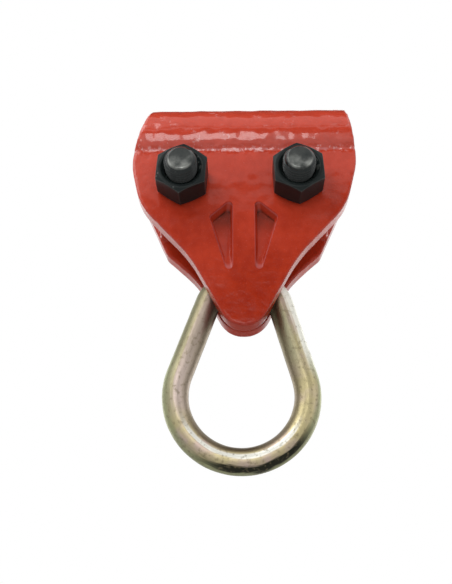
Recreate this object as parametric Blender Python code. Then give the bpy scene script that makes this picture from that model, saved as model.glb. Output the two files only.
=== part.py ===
"""Two-jaw rope clamp with a hanging pear link.

Two cast jaws close on a rope that runs along X. Two bolts along Y draw them together, with their
nuts on the front jaw, towards -Y. A pear-shaped link hangs from a pin held between the jaws' noses.
Metres, +Z up, origin on the rope's axis, midway along the jaws.
"""
import math

import bmesh
import bpy
from mathutils import Matrix, Vector

# Rope groove and the half-pipe band that the jaws form round it
GROOVE_RADIUS = 0.0115
BAND_WALL = 0.0083

# Bolts, heads and nuts; the pair of bolts sits a little to the left of the castings' middle
BOLT_SPACING = 0.0567
BOLT_SHIFT = -0.0017
BOLT_DIAMETER = 0.0160
BOLT_END_DIAMETER = 0.0130
BOLT_END_CHAMFER = 0.0020
BOLT_STANDOUT = 0.0079
BOLT_PLAY = 0.0005
NUT_WIDTH = 0.0240
NUT_HEIGHT = 0.0145
NUT_TURN_LEFT = math.radians(-4)
NUT_TURN_RIGHT = math.radians(3)
HEAD_WIDTH = 0.0240
HEAD_HEIGHT = 0.0100
HEX_CHAMFER_ANGLE = math.radians(28)
HEX_FACE_SHARE = 0.95
COUNTERSINK = 0.0008

# Pear link of round bar
LINK_ROD = 0.0126
LINK_INSIDE_LENGTH = 0.0766
LINK_WIDE_INSIDE = 0.0490
LINK_NARROW_INSIDE = 0.0247
LINK_HANG = math.radians(2)

# Pin that the link hangs on
PIN_DIAMETER = 0.0140
PIN_SOCKET_DEPTH = 0.0040
PIN_CHAMFER = 0.0010

# Clearances
SEAT_GAP = 0.0003
LINK_SIDE_PLAY = 0.0006
SWING_CLEARANCE = 0.0029
NUT_TO_BAND = 0.0051

# Jaw castings: walls, lands and edges
JAW_WALL = 0.0095
BOLT_LAND = 0.0115
LAND_REACH = 0.0145
EDGE_RADIUS = 0.0016
EDGE_STEPS = 2
SIDE_REACH = 0.0292
SIDE_RISE = 0.0127
SIDE_LEAN_LEFT = math.radians(16.8)
SIDE_LEAN_RIGHT = math.radians(7.5)
SIDE_RADIUS = 0.0370
TOP_CORNER_LEFT = 0.0130
TOP_CORNER_RIGHT = 0.0060

# Front jaw's lower outline
FRONT_SHOULDER_REACH = 0.0226
FRONT_SHOULDER_DROP = 0.0131
FRONT_SHOULDER_RADIUS = 0.0330
FRONT_WAIST_RISE = 0.0193
FRONT_WAIST_RADIUS = 0.0810
FRONT_NOSE_ANGLE = math.radians(27.8)
FRONT_NOSE_RADIUS = 0.0120
FRONT_PIN_COVER = 0.0090

# Rear jaw's lower outline, with an ear on each flank
REAR_SHOULDER_REACH = 0.0201
REAR_SHOULDER_DROP = 0.0089
REAR_SHOULDER_RADIUS = 0.0400
REAR_EAR_REACH = 0.0111
REAR_EAR_DROP = 0.0288
REAR_EAR_RADIUS = 0.0025
REAR_WAIST_RISE = 0.0156
REAR_WAIST_RADIUS = 0.0600
REAR_NOSE_ANGLE = math.radians(28.5)
REAR_NOSE_RADIUS = 0.0140
REAR_PIN_COVER = 0.0036

# Pockets on either side of the middle rib
RIB_WIDTH = 0.0109
POCKET_TOP_DROP = 0.0086
POCKET_SIDE_DROP = 0.0189
POCKET_TO_BOLT = 0.0114
POCKET_POINT_RISE = 0.0034
POCKET_CORNER = 0.0020
POCKET_TIP = 0.0014
POCKET_DEPTH_TOP = 0.0042
POCKET_DEPTH_TIP = 0.0012
POCKET_FLOOR_SHARE = 0.74

# How finely round stretches are divided, and how far cutters run past what they cut
ARC_STEP = math.radians(10)
TURN_STEPS = 42
ROD_SIDES_RESOLUTION = 6
CUT_MARGIN = 0.0010
MERGE_DISTANCE = 0.000001
CUT_WELD = 0.00004
RIM_WELD = 0.0004
STRAIGHT_ANGLE = math.radians(0.5)
RIM_TOLERANCE = 0.01
RIM_FACING = 0.5
SHARP_ANGLE = math.radians(32)

# Places that follow from the sizes
SLOT = LINK_ROD / 2 + LINK_SIDE_PLAY
FACE = SLOT + JAW_WALL
PARTING = SEAT_GAP / 2
BAND_RADIUS = GROOVE_RADIUS + BAND_WALL
NUT_CORNER = NUT_WIDTH / math.sqrt(3)
CREASE_DROP = math.sqrt(BAND_RADIUS ** 2 - FACE ** 2)
BOLT_X = BOLT_SPACING / 2
BOLT_Z = -(CREASE_DROP + NUT_TO_BAND + NUT_CORNER)
HOLE_RADIUS = BOLT_DIAMETER / 2 + BOLT_PLAY
SLOT_TOP = BOLT_Z - HOLE_RADIUS - BOLT_LAND
LAND_SIDE = BOLT_X + LAND_REACH
RELIEF_TOP = -(GROOVE_RADIUS + JAW_WALL)
PIN_Z = SLOT_TOP - SWING_CLEARANCE - LINK_ROD - LINK_WIDE_INSIDE / 2
NUT_SEAT = FACE + SEAT_GAP
BOLT_END = NUT_SEAT + NUT_HEIGHT + BOLT_STANDOUT
PIN_HALF_LENGTH = SLOT + PIN_SOCKET_DEPTH - SEAT_GAP
SOCKET_RADIUS = PIN_DIAMETER / 2 + SEAT_GAP


def clear_scene():
    for obj in list(bpy.data.objects):
        bpy.data.objects.remove(obj)


def finish(name, colour, roughness, metallic):
    """Material with the colour, roughness and metallic value of one finish."""
    material = bpy.data.materials.new(name)
    material.use_nodes = True
    shader = material.node_tree.nodes["Principled BSDF"]
    shader.inputs["Base Color"].default_value = (*colour, 1.0)
    shader.inputs["Roughness"].default_value = roughness
    shader.inputs["Metallic"].default_value = metallic
    return material


def solid(name, bm):
    """Object from a bmesh, with its faces pointing out."""
    bmesh.ops.remove_doubles(bm, verts=bm.verts, dist=MERGE_DISTANCE)
    bmesh.ops.recalc_face_normals(bm, faces=bm.faces)
    mesh = bpy.data.meshes.new(name)
    bm.to_mesh(mesh)
    bm.free()
    obj = bpy.data.objects.new(name, mesh)
    bpy.context.collection.objects.link(obj)
    return obj


def prism(name, loop, sweep):
    """Closed prism: a flat loop of points swept along a vector."""
    bm = bmesh.new()
    face = bm.faces.new([bm.verts.new(point) for point in loop])
    swept = bmesh.ops.extrude_face_region(bm, geom=[face])["geom"]
    moved = [item for item in swept if isinstance(item, bmesh.types.BMVert)]
    bmesh.ops.translate(bm, verts=moved, vec=sweep)
    return solid(name, bm)


def turned(name, profile):
    """Closed round piece about the Y axis, from (radius, y) points that start and end on the axis."""
    bm = bmesh.new()
    points = [bm.verts.new((radius, y, 0)) for radius, y in profile]
    edges = [bm.edges.new(pair) for pair in zip(points, points[1:])]
    bmesh.ops.spin(bm, geom=points + edges, cent=(0, 0, 0), axis=(0, 1, 0), angle=math.tau,
                   steps=TURN_STEPS, use_merge=True)
    bmesh.ops.remove_doubles(bm, verts=bm.verts, dist=MERGE_DISTANCE)
    on_axis = [point for point in bm.verts if point.co.xz.length < MERGE_DISTANCE]
    bmesh.ops.dissolve_verts(bm, verts=on_axis)
    return solid(name, bm)


def weld(obj, distance):
    """Join points that lie closer together than a distance, and faces that carry straight on."""
    bm = bmesh.new()
    bm.from_mesh(obj.data)
    bmesh.ops.remove_doubles(bm, verts=bm.verts, dist=distance)
    bmesh.ops.dissolve_limit(bm, angle_limit=STRAIGHT_ANGLE, verts=bm.verts, edges=bm.edges)
    bm.to_mesh(obj.data)
    bm.free()


def combine(obj, tool, operation):
    """Boolean of an object with a tool, which is used up."""
    modifier = obj.modifiers.new(operation, "BOOLEAN")
    modifier.operation = operation
    modifier.object = tool
    graph = bpy.context.evaluated_depsgraph_get()
    obj.data = bpy.data.meshes.new_from_object(obj.evaluated_get(graph))
    obj.modifiers.clear()
    bpy.data.objects.remove(tool)
    weld(obj, CUT_WELD)


def complete(obj, material, pivot):
    """Give a piece its finish, its shading and its origin."""
    mesh = obj.data
    mesh.name = obj.name
    mesh.materials.clear()
    mesh.materials.append(material)
    mesh.shade_smooth()
    mesh.set_sharp_from_angle(angle=SHARP_ANGLE)
    mesh.transform(Matrix.Translation(-pivot))
    obj.location = pivot
    return obj


def rounded(corners):
    """Closed outline through (a, b, radius) corners, each one turned into an arc."""
    outline = []
    places = [Vector(corner[:2]) for corner in corners]
    for index, (place, (_, _, radius)) in enumerate(zip(places, corners)):
        back = (places[index - 1] - place).normalized()
        ahead = (places[(index + 1) % len(places)] - place).normalized()
        turn = math.pi - back.angle(ahead)
        reach = radius * math.tan(turn / 2)
        centre = place + (back + ahead).normalized() * (radius / math.cos(turn / 2))
        first = place + back * reach - centre
        last = place + ahead * reach - centre
        steps = math.ceil(turn / ARC_STEP)
        outline += [centre + radius * first.slerp(last, step / steps) for step in range(steps + 1)]
    return outline


def arc(radius, start, end):
    """Points on a circle about the rope's axis, as (y, z), from one angle to another."""
    steps = math.ceil(abs(end - start) / ARC_STEP)
    angles = [start + (end - start) * step / steps for step in range(steps + 1)]
    return [(radius * math.cos(angle), radius * math.sin(angle)) for angle in angles]


def nose_point(radius, angle, cover):
    """Height at which the two flanks would meet if the nose below the pin were not round."""
    bottom = PIN_Z - PIN_DIAMETER / 2 - cover
    return bottom + radius - radius / math.sin(angle)


def jaw_outline(lower):
    """Jaw seen from the front: lower right corners from nose to shoulder, mirrored, and the top."""
    side_x = BOLT_X + SIDE_REACH
    side_z = BOLT_Z + SIDE_RISE
    top = BAND_RADIUS + CUT_MARGIN
    right_x = side_x - (top - side_z) * math.tan(SIDE_LEAN_RIGHT)
    left_x = side_x - (top - side_z) * math.tan(SIDE_LEAN_LEFT)
    right = lower[1:] + [(side_x, side_z, SIDE_RADIUS)]
    left = [(-x, z, radius) for x, z, radius in reversed(right)]
    top_corners = [(right_x, top, TOP_CORNER_RIGHT), (-left_x, top, TOP_CORNER_LEFT)]
    return rounded(lower[:1] + right + top_corners + left)


def front_outline():
    tip = nose_point(FRONT_NOSE_RADIUS, FRONT_NOSE_ANGLE, FRONT_PIN_COVER)
    waist = PIN_Z + FRONT_WAIST_RISE
    return jaw_outline([
        (0, tip, FRONT_NOSE_RADIUS),
        ((waist - tip) * math.tan(FRONT_NOSE_ANGLE), waist, FRONT_WAIST_RADIUS),
        (BOLT_X + FRONT_SHOULDER_REACH, BOLT_Z - FRONT_SHOULDER_DROP, FRONT_SHOULDER_RADIUS),
    ])


def rear_outline():
    tip = nose_point(REAR_NOSE_RADIUS, REAR_NOSE_ANGLE, REAR_PIN_COVER)
    waist = PIN_Z + REAR_WAIST_RISE
    return jaw_outline([
        (0, tip, REAR_NOSE_RADIUS),
        ((waist - tip) * math.tan(REAR_NOSE_ANGLE), waist, REAR_WAIST_RADIUS),
        (BOLT_X + REAR_EAR_REACH, BOLT_Z - REAR_EAR_DROP, REAR_EAR_RADIUS),
        (BOLT_X + REAR_SHOULDER_REACH, BOLT_Z - REAR_SHOULDER_DROP, REAR_SHOULDER_RADIUS),
    ])


def jaw_section(bottom):
    """Section across the rope, as (distance from the parting plane's middle, z)."""
    crease = -math.asin(CREASE_DROP / BAND_RADIUS)
    band = arc(BAND_RADIUS, math.acos(PARTING / BAND_RADIUS), crease)
    lip = math.acos(PARTING / GROOVE_RADIUS)
    groove = arc(GROOVE_RADIUS, -lip, lip)
    wall = [(FACE, bottom), (SLOT, bottom), (SLOT, SLOT_TOP), (PARTING, SLOT_TOP)]
    return band + wall + groove


def round_outer_edges(obj, side):
    """Round the edges where a jaw's outer faces meet its rim."""
    bm = bmesh.new()
    bm.from_mesh(obj.data)
    bm.normal_update()
    rim = []
    for edge in bm.edges:
        inward, outward = sorted(side * face.normal.y for face in edge.link_faces)
        if abs(inward) < RIM_TOLERANCE and outward > RIM_FACING:
            rim.append(edge)
    bmesh.ops.bevel(bm, geom=rim, affect="EDGES", offset=EDGE_RADIUS, segments=EDGE_STEPS,
                    profile=0.5, clamp_overlap=True, material=-1)
    bm.to_mesh(obj.data)
    bm.free()


def round_cutter(radius, near, far):
    return turned("cutter", [(0, near), (radius, near), (radius, far), (0, far)])


def relief_cutter(side, mirror, reach):
    """Clears the inside of a flank beside the bolt's land, so that the rim is one wall thick."""
    low = SLOT_TOP - CUT_MARGIN
    loop = [(mirror * LAND_SIDE, 0, low), (mirror * reach, 0, low),
            (mirror * reach, 0, RELIEF_TOP), (mirror * LAND_SIDE, 0, RELIEF_TOP)]
    return prism("cutter", loop, (0, side * SLOT, 0))


def pocket_cutter(side, mirror):
    """Three-cornered pocket with sloping walls and a floor that rises towards its tip."""
    rib = RIB_WIDTH / 2
    top = BOLT_Z - POCKET_TOP_DROP
    tip = PIN_Z + POCKET_POINT_RISE
    rim = rounded([
        (rib, top, POCKET_CORNER),
        (BOLT_X - POCKET_TO_BOLT, BOLT_Z - POCKET_SIDE_DROP, POCKET_CORNER),
        (rib, tip, POCKET_TIP),
    ])
    middle = sum(rim, Vector((0, 0))) / len(rim)
    bm = bmesh.new()
    outer = []
    inner = []
    for point in rim:
        share = (point.y - tip) / (top - tip)
        depth = POCKET_DEPTH_TIP + (POCKET_DEPTH_TOP - POCKET_DEPTH_TIP) * share
        floor = middle.lerp(point, POCKET_FLOOR_SHARE)
        outer.append(bm.verts.new((mirror * point.x, side * (FACE + SEAT_GAP), point.y)))
        inner.append(bm.verts.new((mirror * floor.x, side * (FACE - depth), floor.y)))
    bm.faces.new(outer)
    bm.faces.new(inner)
    for index in range(len(rim)):
        bm.faces.new((outer[index - 1], outer[index], inner[index], inner[index - 1]))
    return solid("cutter", bm)


def jaw(name, side, outline, material):
    """Cast jaw on one side of the parting plane: side is -1 at the front and 1 at the rear."""
    reach = max(point.x for point in outline) + CUT_MARGIN
    bottom = min(point.y for point in outline) - CUT_MARGIN
    section = [(-reach, side * y, z) for y, z in jaw_section(bottom)]
    body = prism(name, section, (2 * reach, 0, 0))
    back = side * (PARTING - CUT_MARGIN)
    front = side * (BAND_RADIUS + CUT_MARGIN)
    rim = prism("rim", [(point.x, back, point.y) for point in outline], (0, front - back, 0))
    combine(body, rim, "INTERSECT")
    weld(body, RIM_WELD)
    round_outer_edges(body, side)
    for mirror in (-1, 1):
        hole = round_cutter(HOLE_RADIUS, -BOLT_END, BOLT_END)
        hole.location = (BOLT_SHIFT + mirror * BOLT_X, 0, BOLT_Z)
        combine(body, hole, "DIFFERENCE")
        combine(body, relief_cutter(side, mirror, reach), "DIFFERENCE")
        combine(body, pocket_cutter(side, mirror), "DIFFERENCE")
    socket = round_cutter(SOCKET_RADIUS, 0, side * (SLOT + PIN_SOCKET_DEPTH))
    socket.location = (0, 0, PIN_Z)
    combine(body, socket, "DIFFERENCE")
    return complete(body, material, Vector((0, 0, 0)))


def hexagon(name, width, low, high, low_chamfer):
    """Hexagon about the Y axis with turned-off corners, one corner up, from y low to y high.

    The hexagonal bar runs past both ends, and the turned shape cuts it to length.
    """
    corner = width / math.sqrt(3)
    loop = []
    for step in range(6):
        angle = math.pi / 2 + step * math.pi / 3
        loop.append((corner * math.cos(angle), low - CUT_MARGIN, corner * math.sin(angle)))
    body = prism(name, loop, (0, high - low + 2 * CUT_MARGIN, 0))
    face = HEX_FACE_SHARE * width / 2
    fall = (corner + CUT_MARGIN - face) * math.tan(HEX_CHAMFER_ANGLE)
    outer = corner + CUT_MARGIN
    start = [(0, low), (outer, low)]
    if low_chamfer:
        start = [(0, low), (face, low), (outer, low + fall)]
    end = [(outer, high - fall), (face, high), (0, high)]
    combine(body, turned("chamfer", start + end), "INTERSECT")
    return body


def nut(name, side_x, turn, material):
    """Hex nut seated on the front jaw, its bore clear of the bolt."""
    low = -NUT_SEAT - NUT_HEIGHT
    high = -NUT_SEAT
    body = hexagon(name, NUT_WIDTH, low, high, True)
    bore = BOLT_DIAMETER / 2 + SEAT_GAP
    mouth = bore + COUNTERSINK + CUT_MARGIN
    cutter = turned("bore", [
        (0, low - CUT_MARGIN), (mouth, low - CUT_MARGIN), (bore, low + COUNTERSINK),
        (bore, high - COUNTERSINK), (mouth, high + CUT_MARGIN), (0, high + CUT_MARGIN),
    ])
    combine(body, cutter, "DIFFERENCE")
    body.data.transform(Matrix.Rotation(-turn, 4, "Y"))
    body.data.transform(Matrix.Translation((side_x, 0, BOLT_Z)))
    return complete(body, material, Vector((side_x, -NUT_SEAT, BOLT_Z)))


def bolt(name, side_x, material):
    """Hex bolt with its head on the rear jaw and its end standing out of the nut."""
    under_head = FACE + SEAT_GAP
    body = hexagon(name, HEAD_WIDTH, under_head, under_head + HEAD_HEIGHT, False)
    radius = BOLT_DIAMETER / 2
    shank = turned("shank", [
        (0, under_head + HEAD_HEIGHT / 2), (radius, under_head + HEAD_HEIGHT / 2),
        (radius, -BOLT_END + BOLT_END_CHAMFER), (BOLT_END_DIAMETER / 2, -BOLT_END), (0, -BOLT_END),
    ])
    combine(body, shank, "UNION")
    body.data.transform(Matrix.Translation((side_x, 0, BOLT_Z)))
    return complete(body, material, Vector((side_x, under_head, BOLT_Z)))


def link_pin(material):
    radius = PIN_DIAMETER / 2
    flat = PIN_HALF_LENGTH - PIN_CHAMFER
    body = turned("link_pin", [
        (0, -PIN_HALF_LENGTH), (radius - PIN_CHAMFER, -PIN_HALF_LENGTH), (radius, -flat),
        (radius, flat), (radius - PIN_CHAMFER, PIN_HALF_LENGTH), (0, PIN_HALF_LENGTH),
    ])
    body.data.transform(Matrix.Translation((0, 0, PIN_Z)))
    return complete(body, material, Vector((0, 0, PIN_Z)))


def pear_link(material):
    """Round bar bent to a narrow bend over the pin, two spreading limbs and a wide bend below.

    It hangs a little to the left of upright.
    """
    narrow = LINK_NARROW_INSIDE / 2
    wide = LINK_WIDE_INSIDE / 2
    narrow_z = PIN_DIAMETER / 2 + SEAT_GAP - narrow
    wide_z = narrow_z - (LINK_INSIDE_LENGTH - narrow - wide)
    spread = math.asin((wide - narrow) / (narrow_z - wide_z))
    bends = [
        (narrow + LINK_ROD / 2, narrow_z, spread, math.pi - spread),
        (wide + LINK_ROD / 2, wide_z, math.pi - spread, math.tau + spread),
    ]
    path = []
    for radius, centre, start, end in bends:
        path += [(x, 0, centre + z) for x, z in arc(radius, start, end)]
    curve = bpy.data.curves.new("pear_link", "CURVE")
    curve.dimensions = "3D"
    curve.bevel_depth = LINK_ROD / 2
    curve.bevel_resolution = ROD_SIDES_RESOLUTION
    spline = curve.splines.new("POLY")
    spline.points.add(len(path) - 1)
    spline.use_cyclic_u = True
    hang = Matrix.Rotation(LINK_HANG, 3, "Y")
    for point, place in zip(spline.points, path):
        point.co = (*(hang @ Vector(place)), 1.0)
    curve.materials.append(material)
    body = bpy.data.objects.new("pear_link", curve)
    body.location = (0, 0, PIN_Z)
    bpy.context.collection.objects.link(body)
    return body


clear_scene()
red_enamel = finish("red_enamel", (0.50, 0.035, 0.022), 0.25, 0.0)
black_oxide = finish("black_oxide", (0.022, 0.024, 0.023), 0.38, 0.6)
gold_zinc = finish("gold_zinc", (0.42, 0.36, 0.20), 0.30, 0.9)
bare_steel = finish("bare_steel", (0.30, 0.30, 0.30), 0.35, 1.0)

jaw("rear_jaw", 1, rear_outline(), red_enamel)
front_jaw = jaw("front_jaw", -1, front_outline(), red_enamel)
bolt("left_bolt", BOLT_SHIFT - BOLT_X, black_oxide)
bolt("right_bolt", BOLT_SHIFT + BOLT_X, black_oxide)
left_nut = nut("left_nut", BOLT_SHIFT - BOLT_X, NUT_TURN_LEFT, black_oxide)
right_nut = nut("right_nut", BOLT_SHIFT + BOLT_X, NUT_TURN_RIGHT, black_oxide)
left_nut.parent = front_jaw
right_nut.parent = front_jaw
link_pin(bare_steel)
pear_link(gold_zinc)
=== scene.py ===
import math

import bmesh
import bpy
from mathutils import Matrix, Vector, noise


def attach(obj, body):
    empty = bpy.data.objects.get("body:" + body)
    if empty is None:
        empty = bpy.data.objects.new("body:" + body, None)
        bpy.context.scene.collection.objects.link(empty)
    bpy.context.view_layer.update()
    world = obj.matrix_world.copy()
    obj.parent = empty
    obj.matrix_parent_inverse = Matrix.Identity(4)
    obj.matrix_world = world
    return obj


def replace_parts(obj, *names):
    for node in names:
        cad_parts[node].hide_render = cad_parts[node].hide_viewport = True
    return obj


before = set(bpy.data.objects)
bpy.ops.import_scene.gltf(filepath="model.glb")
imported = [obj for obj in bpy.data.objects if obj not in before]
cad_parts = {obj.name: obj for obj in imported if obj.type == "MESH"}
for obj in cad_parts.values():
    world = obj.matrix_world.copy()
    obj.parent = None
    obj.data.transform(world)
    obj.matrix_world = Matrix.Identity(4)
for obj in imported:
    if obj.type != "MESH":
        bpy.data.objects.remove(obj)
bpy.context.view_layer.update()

# Camera: it stands below the clamp, in front of its middle, looking up at the nut side.
# The picture is 452 by 584 pixels, taken with a normal lens from about 0.4 m.
PICTURE_HEIGHT = 584
FOCAL_LENGTH_PIXELS = 800
SENSOR_MM = 36
CLIP_START = 0.01
CAMERA_PLACE = Vector((-0.00081, -0.36112, -0.23562))
CAMERA_YAW = math.radians(1.284)
CAMERA_PITCH = math.radians(22.970)
CAMERA_ROLL = math.radians(-0.176)
QUARTER_TURN = math.radians(90)

camera = bpy.data.objects.new("camera", bpy.data.cameras.new("camera"))
bpy.context.scene.collection.objects.link(camera)
camera.data.sensor_width = SENSOR_MM
camera.data.lens = FOCAL_LENGTH_PIXELS / PICTURE_HEIGHT * SENSOR_MM
camera.data.clip_start = CLIP_START
camera.matrix_world = (
    Matrix.Translation(CAMERA_PLACE)
    @ Matrix.Rotation(CAMERA_YAW, 4, "Z")
    @ Matrix.Rotation(CAMERA_PITCH, 4, "X")
    @ Matrix.Rotation(CAMERA_ROLL, 4, "Y")
    @ Matrix.Rotation(QUARTER_TURN, 4, "X")
)
bpy.context.scene.camera = camera
bpy.context.scene.view_settings.view_transform = "Standard"


# Studio: a pale matt floor well below the hanging link, a white surround that fills the shadows,
# and softboxes: a far one in front that the band mirrors, one on each side, one above, and two
# strips behind. A dark curtain and canopy, out of sight, keep the surround out of the enamel.
FLOOR_Z = -0.30
FLOOR_SIZE = 1.5
FLOOR_PALE = (0.93, 0.93, 0.92, 1)
FLOOR_GREY = (0.87, 0.87, 0.865, 1)
FLOOR_BOUNCE = (0.52, 0.52, 0.51, 1)
FLOOR_PATCHES = 9.0
FLOOR_GRAIN = 400.0
FLOOR_GRAIN_DEPTH = 0.0001
FLOOR_ROUGHNESS = 0.7
FLOOR_ROUGHER = 0.1
SHEET_CELLS = 8
CURTAINS = [
    # name, place, width and height, tilt from lying flat
    ("rear_curtain", (0, -3.4, 1.36), (4.0, 1.02), QUARTER_TURN),
    ("canopy", (0, -0.40, 1.20), (0.70, 2.60), 0),
]
CURTAIN_DARK = (0.035, 0.035, 0.035, 1)
CURTAIN_WORN = (0.06, 0.06, 0.058, 1)
CURTAIN_WEAVE = 300.0
CURTAIN_WEAVE_DEPTH = 0.0003
CURTAIN_ROUGHNESS = 0.9
SURROUND_WHITE = (1, 1, 1, 1)
SURROUND_FILL = 0.56
SOFTBOXES = [
    # name, place, width and height, watts
    ("front_softbox", (-0.15, -3.0, 0.28), (0.62, 1.10), 10.5),
    ("left_softbox", (-0.30, -0.34, 0.28), (0.36, 0.36), 1.15),
    ("right_softbox", (0.50, -0.30, 0.02), (0.25, 0.45), 0.15),
    ("top_softbox", (-0.05, -0.45, 0.72), (0.90, 0.60), 1.35),
    ("right_strip", (0.75, 0.80, 0.05), (0.55, 0.90), 1.9),
    ("left_strip", (-0.75, 0.85, 0.10), (0.45, 0.90), 1.7),
]
LIGHTS_AIM = Vector((0, 0, -0.04))


class Shade:
    """One socket of a node tree. Sums and products of it add Math nodes."""

    def __init__(self, tree, socket=None):
        self.tree = tree
        self.socket = socket

    def node(self, kind, settings, sockets, output=0):
        """A node with its settings, its sockets' values or links, and the output to read."""
        made = self.tree.nodes.new(kind)
        for name, value in settings.items():
            setattr(made, name, value)
        self.fill(made, sockets)
        return Shade(self.tree, made.outputs[output])

    def fill(self, made, sockets):
        """Give a node's sockets their values or links."""
        for name, value in sockets.items():
            if isinstance(value, Shade):
                self.tree.links.new(value.socket, made.inputs[name])
            else:
                made.inputs[name].default_value = value

    def reckon(self, operation, first, second):
        """Math node of two values."""
        return self.node("ShaderNodeMath", {"operation": operation}, {0: first, 1: second})

    def rise(self, low, high):
        """0 below low, 1 above high, smooth between."""
        return self.node("ShaderNodeMapRange", {"interpolation_type": "SMOOTHSTEP"},
                         {"Value": self, "From Min": low, "From Max": high})

    def fall(self, low, high):
        """1 below low, 0 above high, smooth between."""
        return 1 - self.rise(low, high)

    def size(self):
        """The value without its sign."""
        return self.node("ShaderNodeMath", {"operation": "ABSOLUTE"}, {0: self})

    def part(self, axis):
        """One of the X, Y and Z parts of a vector."""
        return self.node("ShaderNodeSeparateXYZ", {}, {"Vector": self}, axis)

    def mix(self, first, second):
        """Colour that goes from first to second as this value goes from 0 to 1."""
        # 0 is the node's factor, 6 and 7 its two colours, and output 2 the mixed colour
        return self.node("ShaderNodeMix", {"data_type": "RGBA"}, {0: self, 6: first, 7: second}, 2)

    def seen(self):
        """1 where a camera, mirror or glass sees this surface, 0 where it only lights others."""
        return (self.node("ShaderNodeLightPath", {}, {}, "Is Camera Ray")
                + self.node("ShaderNodeLightPath", {}, {}, "Is Glossy Ray")
                + self.node("ShaderNodeLightPath", {}, {}, "Is Transmission Ray"))

    def __add__(self, other):
        return self.reckon("ADD", self, other)

    def __radd__(self, other):
        return self.reckon("ADD", other, self)

    def __sub__(self, other):
        return self.reckon("SUBTRACT", self, other)

    def __rsub__(self, other):
        return self.reckon("SUBTRACT", other, self)

    def __mul__(self, other):
        return self.reckon("MULTIPLY", self, other)

    def __rmul__(self, other):
        return self.reckon("MULTIPLY", other, self)


def new_finish(name):
    """A material with its node tree, and the Object coordinates that its patterns read."""
    material = bpy.data.materials.new(name)
    material.use_nodes = True
    shade = Shade(material.node_tree)
    place = shade.node("ShaderNodeTexCoord", {}, {}, "Object")
    return material, shade, place


def speckle(place, scale, detail=2.0):
    """Noise with a given number of patches per metre."""
    return place.node("ShaderNodeTexNoise", {}, {"Vector": place, "Scale": scale, "Detail": detail})


def set_surface(material, shade, sockets, height, depth):
    """Fill the shader of a material and give it relief of a depth in metres."""
    sockets["Normal"] = shade.node("ShaderNodeBump", {},
                                   {"Strength": 1.0, "Distance": depth, "Height": height})
    shade.fill(material.node_tree.nodes["Principled BSDF"], sockets)


def sheet(name, spot, size, tilt, material):
    """Flat sheet: a unit square stretched to its size, lying level unless it is tilted."""
    bm = bmesh.new()
    bmesh.ops.create_grid(
        bm, x_segments=SHEET_CELLS, y_segments=SHEET_CELLS, size=0.5,
        matrix=(Matrix.Translation(spot) @ Matrix.Rotation(tilt, 4, "X")
                @ Matrix.Diagonal((*size, 1, 1))))
    mesh = bpy.data.meshes.new(name)
    bm.to_mesh(mesh)
    bm.free()
    mesh.materials.append(material)
    made = bpy.data.objects.new(name, mesh)
    bpy.context.scene.collection.objects.link(made)
    return made


floor_paper, shade, place = new_finish("floor_paper")
mottle = speckle(place, FLOOR_PATCHES)
set_surface(floor_paper, shade, {
    "Base Color": shade.seen().mix(FLOOR_BOUNCE, mottle.mix(FLOOR_PALE, FLOOR_GREY)),
    "Roughness": FLOOR_ROUGHNESS + FLOOR_ROUGHER * mottle,
}, speckle(place, FLOOR_GRAIN), FLOOR_GRAIN_DEPTH)
floor = sheet("floor", (0, 0, FLOOR_Z), (FLOOR_SIZE, FLOOR_SIZE), 0, floor_paper)

curtain_cloth, shade, place = new_finish("curtain_cloth")
weave = speckle(place, CURTAIN_WEAVE)
set_surface(curtain_cloth, shade, {
    "Base Color": weave.mix(CURTAIN_DARK, CURTAIN_WORN),
    "Roughness": CURTAIN_ROUGHNESS,
}, weave, CURTAIN_WEAVE_DEPTH)
for name, spot, size, tilt in CURTAINS:
    curtain = sheet(name, spot, size, tilt, curtain_cloth)
    curtain.visible_camera = False

surround = bpy.data.worlds.new("surround")
surround.use_nodes = True
bpy.context.scene.world = surround
shade = Shade(surround.node_tree)
shade.fill(surround.node_tree.nodes["Background"], {
    "Color": SURROUND_WHITE,
    "Strength": SURROUND_FILL + (1 - SURROUND_FILL) * shade.seen(),
})

for name, spot, (width, height), watts in SOFTBOXES:
    lamp = bpy.data.lights.new(name, "AREA")
    lamp.shape = "RECTANGLE"
    lamp.size = width
    lamp.size_y = height
    lamp.energy = watts
    softbox = bpy.data.objects.new(name, lamp)
    softbox.visible_camera = False
    bpy.context.scene.collection.objects.link(softbox)
    aim = (LIGHTS_AIM - Vector(spot)).to_track_quat("-Z", "Y")
    softbox.matrix_world = Matrix.Translation(spot) @ aim.to_matrix().to_4x4()


# Jaws: two halves of a rope clamp, cast in iron with a groove along the top for the rope, and
# dipped in thick red enamel that rounds every edge. The rear one carries the bolts, and the front
# one slides on them.
GROOVE_RADIUS = 0.0115
BAND_RADIUS = 0.0198
FACE = 0.0164
SLOT = 0.0069
PARTING = 0.00015
PIN_Z = -0.0900506
PIN_SOCKET_RADIUS = 0.0073
PIN_SOCKET_END = 0.0109
BOLT_PLACES = {"left": -0.03005, "right": 0.02665}
BOLT_Z = -0.0300506
BOLT_HOLE_RADIUS = 0.0085
SLOT_TOP = -0.0500506
LAND_SIDE = 0.04285
RELIEF_TOP = -0.021
CREASE_Z = -math.sqrt(BAND_RADIUS ** 2 - FACE ** 2)
JAW_REACH = 0.065
JAW_TOP = 0.0208
JAW_BOTTOM = -0.11
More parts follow.
